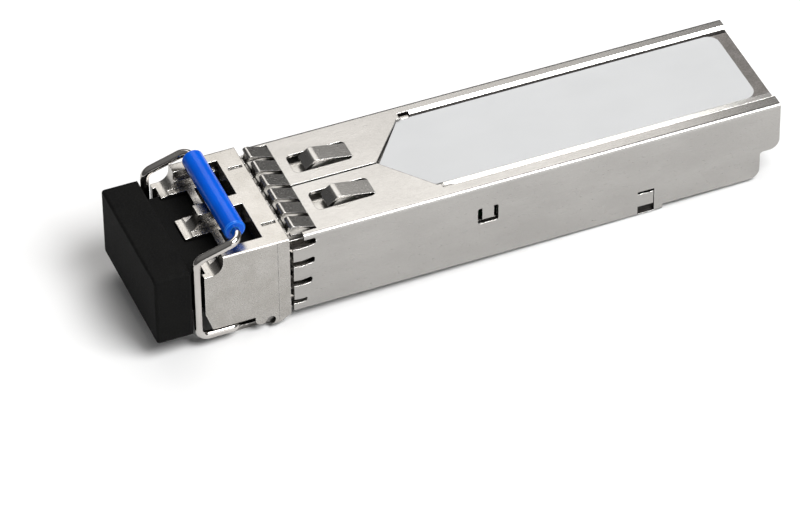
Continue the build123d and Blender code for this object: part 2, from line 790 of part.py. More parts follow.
def chip(name, x_share, y_share, length, width, height, leads):
    """Moulded package with leads along two flanks, placed by shares of the board's length and half width."""
    x = board_front_x + x_share * board_length
    y = y_share * board_half
    with BuildPart() as package:
        with Locations((x, y, board_top + height / 2)):
            Box(length, width, height)
        chamfer(package.faces().sort_by(Axis.Z)[-1].edges(), height / 6)
        pitch = length / leads
        lead_z = board_top + height / 6
        with Locations(*[
            (x + (i - (leads - 1) / 2) * pitch, y + side * (width + height / 2) / 2, lead_z)
            for i in range(leads)
            for side in (-1, 1)
        ]):
            Box(pitch / 2, height / 2, height / 3)
    save(package, name)


package_height = 0.9
driver_side = 4.0
controller_side = 5.0
memory_length = 2.8
memory_width = 2.4
chip("laser_driver_chip", 0.22, 0.28, driver_side, driver_side, package_height, 8)
chip("controller_chip", 0.45, -0.14, controller_side, controller_side, package_height, 10)
chip("memory_chip", 0.62, 0.35, memory_length, memory_width, package_height, 4)

passive_length = 1.0
passive_width = 0.5
passive_height = 0.5
capacitor_pitch = 1.4
capacitor_start = 3.6
capacitor_edge = 2.05
resistor_pitch = 1.5
resistor_start = 10.6
resistor_edge = 0.75
capacitor_xs = [board_front_x + capacitor_start + capacitor_pitch * i for i in range(4)]
resistor_xs = [board_front_x + resistor_start + resistor_pitch * i for i in range(8)]
capacitor_y = capacitor_edge - board_half
resistor_y = board_half - resistor_edge

with BuildPart() as chip_capacitors:
    with Locations(*[(x, capacitor_y, board_top + passive_height / 2) for x in capacitor_xs]):
        Box(passive_length, 1.6 * passive_width, passive_height)
save(chip_capacitors, "chip_capacitors")

with BuildPart() as chip_resistors:
    with Locations(*[(x, resistor_y, board_top + passive_height / 4) for x in resistor_xs]):
        Box(passive_length, passive_width, passive_height / 2)
save(chip_resistors, "chip_resistors")

# Optical subassemblies: barrel, ceramic sleeve, can and flex lead for each fibre

barrel_reach = 4.0
barrel_front_x = port_back_x - barrel_reach
barrel_nose_d = 2.4
flange_d = 4.5
flange_front_x = bay_front_x + running_gap
flange_thick = 0.75
groove_d = 3.6
groove_length = 0.8
housing_length = 1.3
can_d = 4.3
can_length = 2.9
ceramic_d = 1.6
ceramic_length = 3.6
lead_d = 0.3
lead_length = 0.2
flex_thick = 0.15
flex_width = 3.2
flex_bend = 0.8

groove_x = flange_front_x + flange_thick
housing_x = groove_x + groove_length
can_x = housing_x + housing_length
can_rear_x = can_x + can_length
flex_x = can_rear_x + lead_length + flex_thick
flex_top_z = port_axis_z + can_d / 3
flex_landing = 1.8
flex_end_x = board_front_x + flex_landing
can_chamfer = 0.2


def optical_set(name, side):
    """Barrel, ceramic sleeve, can and flex of one fibre, on the axis of its port."""
    y = side * port_pitch / 2
    axis_plane = Plane((0, y, port_axis_z), x_dir=(1, 0, 0), z_dir=(0, -1, 0))
    with BuildPart() as barrel:
        with BuildSketch(axis_plane):
            with BuildLine():
                Polyline(
                    (barrel_front_x, ceramic_d / 2),
                    (barrel_front_x, barrel_nose_d / 2),
                    (port_back_x - sheet, barrel_nose_d / 2),
                    (port_back_x - sheet, barrel_d / 2),
                    (flange_front_x, barrel_d / 2),
                    (flange_front_x, flange_d / 2),
                    (groove_x, flange_d / 2),
                    (groove_x, groove_d / 2),
                    (housing_x, groove_d / 2),
                    (housing_x, flange_d / 2),
                    (can_x, flange_d / 2),
                    (can_x, 0),
                    (barrel_front_x + ceramic_length, 0),
                    (barrel_front_x + ceramic_length, ceramic_d / 2),
                    close=True,
                )
            make_face()
        revolve(axis=Axis((0, y, port_axis_z), (1, 0, 0)))
    save(barrel, f"{name}_barrel")
    with BuildPart() as ceramic:
        with Locations(Location((barrel_front_x + ceramic_length / 2, y, port_axis_z), (0, 90, 0))):
            Cylinder(ceramic_d / 2, ceramic_length)
            Cylinder(ferrule_d / 2, ceramic_length, mode=Mode.SUBTRACT)
    save(ceramic, f"{name}_ferrule_sleeve")
    with BuildPart() as can:
        with Locations(Location((can_x + can_length / 2, y, port_axis_z), (0, 90, 0))):
            Cylinder(can_d / 2, can_length)
        chamfer(can.edges().filter_by(GeomType.CIRCLE).sort_by(Axis.X)[-1], can_chamfer)
        with Locations(*[
            Location((can_rear_x + lead_length / 2, y + dy * can_d / 4, port_axis_z + dz * can_d / 4),
                     (0, 90, 0))
            for dy, dz in ((-1, 0), (1, 0), (0, 1))
        ]):
            Cylinder(lead_d / 2, lead_length)
    save(can, f"{name}_can")
    with BuildPart() as flex:
        with BuildSketch(Plane((0, y, 0), x_dir=(1, 0, 0), z_dir=(0, -1, 0))):
            with BuildLine():
                Line((flex_x, flex_top_z), (flex_x, board_top + flex_thick + flex_bend))
                RadiusArc(
                    (flex_x, board_top + flex_thick + flex_bend),
                    (flex_x + flex_bend, board_top + flex_thick),
                    -flex_bend,
                )
                Line((flex_x + flex_bend, board_top + flex_thick), (flex_end_x, board_top + flex_thick))
                Line((flex_end_x, board_top + flex_thick), (flex_end_x, board_top))
                Line((flex_end_x, board_top), (flex_x + flex_bend, board_top))
                RadiusArc(
                    (flex_x + flex_bend, board_top),
                    (flex_x - flex_thick, board_top + flex_thick + flex_bend),
                    flex_bend + flex_thick,
                )
                Line((flex_x - flex_thick, board_top + flex_thick + flex_bend),
                     (flex_x - flex_thick, flex_top_z))
                Line((flex_x - flex_thick, flex_top_z), (flex_x, flex_top_z))
            make_face()
        extrude(amount=flex_width / 2, both=True)
    save(flex, f"{name}_flex")


optical_set("transmitter", 1)
optical_set("receiver", -1)

# Forked plate that holds both barrels by their grooves, folded back as a lid over the bay

clamp_gap = 0.1
clamp_web = 0.4
clamp_half = neck_half - tray_wall - clamp_gap
lid_thick = 0.4
lid_front_x = bay_front_x + clamp_gap
lid_length = bay_rear_x - clamp_gap - lid_front_x

with BuildPart() as optics_clamp:
    with BuildSketch(Plane.YZ.offset(groove_x + clamp_gap)):
        with Locations((0, (bay_floor + bay_top) / 2)):
            Rectangle(2 * clamp_half, bay_top - bay_floor)
        with Locations(*[(side * port_pitch / 2, port_axis_z) for side in (-1, 1)]):
            Circle(groove_d / 2 + clamp_gap, mode=Mode.SUBTRACT)
        with Locations(*[(side * port_pitch / 2, bay_floor + clamp_web) for side in (-1, 1)]):
            Rectangle(
                groove_d + 2 * clamp_gap,
                2 * (port_axis_z - bay_floor - clamp_web),
                mode=Mode.SUBTRACT,
            )
    extrude(amount=groove_length - 2 * clamp_gap)
    with BuildSketch(Plane.XY.offset(bay_top - lid_thick)):
        with Locations((lid_front_x + lid_length / 2, 0)):
            Rectangle(lid_length, 2 * clamp_half)
    extrude(amount=lid_thick)
save(optics_clamp, "optics_clamp")

# Bail wire, its sleeve and the cams on its hinge ends

sleeve_chamfer = 0.12
wire_end = hinge_inner - tongue_gap
half_route = [
    (bail_pivot_x, wire_end, bail_pivot_z),
    (bail_pivot_x, bail_half, bail_pivot_z),
    (bail_x, bail_half, bail_pivot_z),
    (bail_x, bail_half, bail_corner_z),
    (grip_x, bail_half, grip_z),
]
route = half_route + [(x, -y, z) for x, y, z in reversed(half_route)]

with BuildLine() as bail_line:
    FilletPolyline(
        *route,
        radius=[hinge_bend, bail_bend, bail_bend, bail_bend, bail_bend, bail_bend, bail_bend, hinge_bend],
    )

with BuildPart() as bail_wire:
    # Straights are extruded and bends revolved, one after the other along the wire
    for piece in bail_line.edges():
        with BuildSketch(Plane(piece @ 0, z_dir=piece % 0)):
            Circle(wire_d / 2)
        if piece.geom_type == GeomType.LINE:
            extrude(amount=piece.length)
        else:
            bend_axis = Axis(piece.arc_center, (piece % 0).cross(piece % 1))
            revolve(axis=bend_axis, revolution_arc=(piece % 0).get_angle(piece % 1))
save(bail_wire, "bail_wire")

with BuildPart() as bail_sleeve:
    with Locations(Location((grip_x, 0, grip_z), (90, 0, 0))):
        Cylinder(sleeve_d / 2, sleeve_length)
        Cylinder(wire_d / 2, sleeve_length, mode=Mode.SUBTRACT)
    chamfer(bail_sleeve.faces().filter_by(GeomType.CYLINDER).sort_by(SortBy.AREA)[-1].edges(), sleeve_chamfer)
save(bail_sleeve, "bail_sleeve")

cam_inner = hinge_outer + cam_gap
cam_outer = bail_half - hinge_bend - running_gap

with BuildPart() as release_cams:
    for side in (-1, 1):
        cam_y = side * (cam_inner + cam_outer) / 2
        with Locations(Location((bail_pivot_x - cam_offset, cam_y, bail_pivot_z + cam_offset), (90, 0, 0))):
            Cylinder(cam_radius, cam_outer - cam_inner)
    with Locations(Location((bail_pivot_x, 0, bail_pivot_z), (90, 0, 0))):
        Cylinder(wire_d / 2, 2 * cam_outer + sheet, mode=Mode.SUBTRACT)
save(release_cams, "release_cams")

# Latch rocker with its boss, pin and return spring

knuckle_half = nose_cavity_half - tongue_gap
arm_inner = cam_inner + cam_gap
arm_outer = knuckle_half - 2 * tongue_gap
arm_top = bail_pivot_z + cam_offset - cam_radius - cam_gap
arm_thick = 0.45
arm_front_x = bail_pivot_x - cam_radius
boss_x = stop_x + boss_shoulder
tongue_rear_x = boss_x + boss_length + tongue_gap
pin_recess = 0.3

with BuildPart() as latch_rocker:
    with Locations(Location((latch_pivot_x, 0, latch_pivot_z), (90, 0, 0))):
        Cylinder(knuckle_radius, 2 * knuckle_half)
    # Tongue that reaches back under the body
    with BuildSketch(Plane.XY.offset(tongue_bottom)):
        with Locations(((latch_pivot_x + tongue_rear_x) / 2, 0)):
            Rectangle(tongue_rear_x - latch_pivot_x, tongue_width)
    extrude(amount=tongue_thick)
    # Wedge boss: upright in front, ramped towards the rear
    with BuildSketch(Plane.XZ):
        with BuildLine():
            Polyline(
                (boss_x, tongue_bottom + tongue_thick / 2),
                (boss_x, -boss_height),
                (boss_x + boss_length / 6, -boss_height),
                (boss_x + boss_length, tongue_bottom),
                (boss_x + boss_length, tongue_bottom + tongue_thick / 2),
                close=True,
            )
        make_face()
    extrude(amount=boss_width / 2, both=True)
    # Arms that the cams press down
    for side in (-1, 1):
        with BuildSketch(Plane.XY.offset(arm_top)):
            with Locations(((arm_front_x + latch_pivot_x) / 2, side * (arm_inner + arm_outer) / 2)):
                Rectangle(latch_pivot_x - arm_front_x, arm_outer - arm_inner)
        extrude(amount=-arm_thick)
    with Locations(Location((latch_pivot_x, 0, latch_pivot_z), (90, 0, 0))):
        Cylinder(latch_pin_d / 2 + running_gap, 2 * knuckle_half, mode=Mode.SUBTRACT)
save(latch_rocker, "latch_rocker")

with BuildPart() as latch_pin:
    with Locations(Location((latch_pivot_x, 0, latch_pivot_z), (90, 0, 0))):
        Cylinder(latch_pin_d / 2, 2 * (half_nose - pin_recess))
save(latch_pin, "latch_pin")

leaf_thick = 0.12
leaf_width = 3.0
leaf_length = 1.6
leaf_depth = 0.6
leaf_front_x = stop_x + leaf_depth
leaf_rear_x = leaf_front_x + leaf_length
leaf_bottom = tongue_bottom + tongue_thick

with BuildPart() as latch_spring:
    # Leaf folded like a Z between the rocker's tongue and the casting above it
    with BuildSketch(Plane.XZ):
        with BuildLine():
            Polyline(
                (leaf_rear_x, leaf_bottom),
                (leaf_rear_x, leaf_bottom + leaf_thick),
                (leaf_front_x + 2 * leaf_thick, leaf_bottom + leaf_thick),
                (leaf_rear_x, rear_cavity_top - leaf_thick),
                (leaf_rear_x, rear_cavity_top),
                (leaf_front_x, rear_cavity_top),
                (leaf_front_x, rear_cavity_top - leaf_thick),
                (leaf_rear_x - 2 * leaf_thick, rear_cavity_top - leaf_thick),
                (leaf_front_x, leaf_bottom + leaf_thick),
                (leaf_front_x, leaf_bottom),
                close=True,
            )
        make_face()
    extrude(amount=leaf_width / 2, both=True)
save(latch_spring, "latch_spring")

# Rubber dust plug: head in front of the bail, one stud in each port

plug_gap = 0.05
plug_head = 3.4
plug_half = half_nose
plug_bottom = 0.65
plug_drop = 0.8
plug_top = nose_top - plug_drop
plug_round = 0.35
plug_lip = 0.1
plug_rear_x = front_x - wire_gap
plug_front_x = plug_rear_x - plug_head
stud_end_x = port_back_x - wire_gap
stud_bottom = port_floor + plug_gap
stud_height = port_height - 2 * plug_gap
stud_width = port_width - 2 * plug_gap
neck_rear_x = port_front_x - plug_gap
stud_bore = barrel_nose_d / 2 + sheet

with BuildPart() as dust_plug:
    with BuildSketch(Plane.YZ.offset(plug_front_x)):
        with Locations((0, (plug_top + plug_bottom) / 2)):
            RectangleRounded(2 * plug_half, plug_top - plug_bottom, plug_round)
    extrude(amount=plug_head - plug_lip)
    fillet(dust_plug.faces().sort_by(Axis.X)[0].edges(), plug_round * 0.8)
    fillet(dust_plug.faces().sort_by(Axis.X)[-1].edges(), plug_lip)
    with BuildSketch(Plane.YZ.offset(plug_rear_x - plug_lip)):
        with Locations((0, (plug_top + plug_bottom) / 2)):
            Rectangle(2 * (plug_half - plug_lip), plug_top - plug_bottom - 2 * plug_lip)
    extrude(amount=plug_lip)
    # Neck between the bail's legs
    with BuildSketch(Plane.YZ.offset(plug_rear_x)):
        with Locations((0, port_axis_z)):
            Rectangle(port_pitch + stud_width, stud_height)
    extrude(amount=neck_rear_x - plug_rear_x)
    with BuildSketch(Plane.YZ.offset(neck_rear_x)):
        with Locations(*[(side * port_pitch / 2, port_axis_z) for side in (-1, 1)]):
            Rectangle(stud_width, stud_height)
    extrude(amount=stud_end_x - neck_rear_x)
    for side in (-1, 1):
        bore_length = stud_end_x - barrel_front_x + 2 * sheet
        with Locations(Location((stud_end_x - bore_length / 2, side * port_pitch / 2, port_axis_z), (0, 90, 0))):
            Cylinder(stud_bore, bore_length, mode=Mode.SUBTRACT)
save(dust_plug, "dust_plug")
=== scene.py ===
import json
import math
import bmesh
import bpy
import numpy as np
from mathutils import Matrix, Vector


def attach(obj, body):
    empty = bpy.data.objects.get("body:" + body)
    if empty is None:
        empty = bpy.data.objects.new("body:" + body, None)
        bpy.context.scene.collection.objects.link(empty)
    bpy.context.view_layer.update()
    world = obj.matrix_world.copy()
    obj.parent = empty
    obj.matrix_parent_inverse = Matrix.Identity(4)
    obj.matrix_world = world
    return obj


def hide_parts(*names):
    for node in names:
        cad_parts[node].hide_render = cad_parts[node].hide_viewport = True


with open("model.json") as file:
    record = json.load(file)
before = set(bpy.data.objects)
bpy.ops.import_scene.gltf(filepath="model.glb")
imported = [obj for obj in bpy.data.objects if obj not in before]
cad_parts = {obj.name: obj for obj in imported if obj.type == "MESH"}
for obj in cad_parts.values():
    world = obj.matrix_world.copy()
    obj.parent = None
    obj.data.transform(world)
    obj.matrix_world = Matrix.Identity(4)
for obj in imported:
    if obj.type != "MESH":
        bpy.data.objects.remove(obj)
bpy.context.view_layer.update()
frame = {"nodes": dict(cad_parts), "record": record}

nodes = frame["nodes"]
mm = 0.001

# Camera at the photograph's angle, fitted to the module's own edges
camera = {
    "azimuth": -21.786,
    "elevation": 41.466,
    "roll": -0.737,
    "distance": 491.378,  # mm
    "target": (-9.329, -8.035, 4.0),  # mm
    "lens": 250.43,
}


def placeCamera(values):
    # The camera stands at target + distance * back, where back is the unit vector of azimuth and elevation
    turn = math.radians(values["azimuth"])
    rise = math.radians(values["elevation"])
    roll = math.radians(values["roll"])
    back = Vector((math.sin(turn) * math.cos(rise), -math.cos(turn) * math.cos(rise), math.sin(rise)))
    across = Vector((math.cos(turn), math.sin(turn), 0))
    upward = back.cross(across)
    right = math.cos(roll) * across + math.sin(roll) * upward
    top = math.cos(roll) * upward - math.sin(roll) * across
    data = bpy.data.cameras.new("photoCamera")
    data.lens = values["lens"]
    data.sensor_width = 36
    data.clip_start = 0.01
    data.clip_end = 20
    placed = bpy.data.objects.new("photoCamera", data)
    place = (Vector(values["target"]) + values["distance"] * back) * mm
    facing = Matrix((right, top, back)).transposed().to_4x4()
    placed.matrix_world = Matrix.Translation(place) @ facing
    bpy.context.scene.collection.objects.link(placed)
    bpy.context.scene.camera = placed


placeCamera(camera)
print("camera placed")


def linear(hexText):
    # sRGB hex to linear colour with full alpha
    steps = [int(hexText[i:i + 2], 16) / 255 for i in (0, 2, 4)]
    return [c / 12.92 if c <= 0.04045 else ((c + 0.055) / 1.055) ** 2.4 for c in steps] + [1.0]


def addNode(tree, kind, inputs=None, **settings):
    # One node with its settings, and each input either linked or set
    node = tree.nodes.new(kind)
    for name, value in settings.items():
        setattr(node, name, value)
    for socket, value in (inputs or {}).items():
        if isinstance(value, bpy.types.NodeSocket):
            tree.links.new(value, node.inputs[socket])
        else:
            node.inputs[socket].default_value = value
    return node


shadingSamples = 6  # rays for each look round an edge or into a gap


def finishOf(name, look):
    # One finish: the colour drifts to a second one in patches and to a third in the grain, and the
    # roughness and the bump follow the same grain. Edges are rounded for the light by their real radius and
    # painted brighter, partly as wear and partly as a painted highlight, and gaps and corners get painted
    # shade as far out as the occlusion reaches.
    material = bpy.data.materials.new(name)
    material.use_nodes = True
    tree = material.node_tree
    tree.nodes.clear()
    coords = addNode(tree, "ShaderNodeTexCoord").outputs["Object"]
    noises = []
    for sizes, detail in ((look["grain"], 3.0), (look["patch"], 2.0)):
        # Object coordinates are metres, so a grain of one size is one step of the noise
        scaled = addNode(tree, "ShaderNodeMapping", {
            "Vector": coords, "Scale": [1 / (s * mm) for s in sizes],
        })
        noises.append(addNode(tree, "ShaderNodeTexNoise", {
            "Vector": scaled.outputs["Vector"], "Scale": 1.0, "Detail": detail, "Roughness": 0.55,
        }).outputs["Fac"])
    grain, patches = noises
    height = grain
    if "ridges" in look:
        # Parallel marks of the tool or the weave, counted by their pitch: one band of the wave each 2 pi / 20
        axis, pitch, share = look["ridges"]
        marks = addNode(tree, "ShaderNodeTexWave", {
            "Vector": coords, "Scale": math.pi / (10 * pitch * mm), "Distortion": 0.6, "Detail": 1.0,
        }, wave_type="BANDS", bands_direction=axis).outputs["Fac"]
        height = addNode(tree, "ShaderNodeMix", {0: share, 2: grain, 3: marks}).outputs[0]
    soft = addNode(tree, "ShaderNodeBevel", {
        "Radius": look["edge"] * mm,
    }, samples=shadingSamples).outputs["Normal"]
    flat = addNode(tree, "ShaderNodeNewGeometry").outputs["True Normal"]
    turned = addNode(tree, "ShaderNodeVectorMath", {
        0: soft, 1: flat,
    }, operation="DOT_PRODUCT").outputs["Value"]
    # Edges painted brighter towards the edge colour where the rounded normal turns from the flat one: partly
    # wear, partly a painted highlight
    wearAndHighlight = addNode(tree, "ShaderNodeMapRange", {
        "Value": turned, "From Min": 0.985, "From Max": 0.86, "To Min": 0.0, "To Max": look["edgeWearAndHighlightGain"],
    }).outputs["Result"]
    drift = addNode(tree, "ShaderNodeMapRange", {
        "Value": patches, "From Min": 0.35, "From Max": 0.65, "To Min": 0.0, "To Max": 1.0,
    }).outputs["Result"]
    speck = addNode(tree, "ShaderNodeMapRange", {
        "Value": grain, "From Min": 0.44, "From Max": 0.66, "To Min": 0.0, "To Max": look["speck"],
    }).outputs["Result"]
    # Painted shade: gaps, slots and corners darken towards the shade colour as far out as the occlusion
    # reaches
    openness = addNode(tree, "ShaderNodeAmbientOcclusion", {
        "Distance": look["gapShadeReach"] * mm,
    }, samples=shadingSamples).outputs["AO"]
    paintedGapShade = addNode(tree, "ShaderNodeMapRange", {
        "Value": openness, "From Min": 0.72, "From Max": 0.30, "To Min": 0.0, "To Max": look["gapShade"],
    }).outputs["Result"]
    colour = linear(look["colour"])
    tints = ((drift, "drift"), (speck, "speckColour"), (wearAndHighlight, "edgeWearAndHighlightColour"), (paintedGapShade, "gapShadeColour"))
    for factor, other in tints:
        colour = addNode(tree, "ShaderNodeMix", {0: factor, 6: colour, 7: linear(look[other])},
                         data_type="RGBA").outputs[2]
    rough = addNode(tree, "ShaderNodeMapRange", {
        "Value": height, "From Min": 0.3, "From Max": 0.7,
        "To Min": look["rough"] - look["spread"], "To Max": look["rough"] + look["spread"],
    }).outputs["Result"]
    rough = addNode(tree, "ShaderNodeMix", {0: wearAndHighlight, 2: rough, 3: look["rough"] * 0.6}).outputs[0]
    bump = addNode(tree, "ShaderNodeBump", {
        "Strength": look["bumpStrength"], "Distance": look["bump"] * mm, "Height": height, "Normal": soft,
    }).outputs["Normal"]
    shader = addNode(tree, "ShaderNodeBsdfPrincipled", {
        "Base Color": colour, "Roughness": rough, "Normal": bump, **look["shader"],
    })
    addNode(tree, "ShaderNodeOutputMaterial", {"Surface": shader.outputs["BSDF"]})
    return material


# What a finish has unless it says otherwise; sizes in mm
plainLook = {
    "speck": 0.1, "speckColour": "808080",
    "grain": (0.12, 0.12, 0.12), "patch": (3, 3, 3),
    "rough": 0.4, "spread": 0.05, "bump": 0.01, "bumpStrength": 0.3,
    "edge": 0.08, "edgeWearAndHighlightGain": 0.4, "edgeWearAndHighlightColour": "ffffff",
    "gapShade": 0.0, "gapShadeReach": 0.4, "gapShadeColour": "0b0a0a", "shader": {},
}

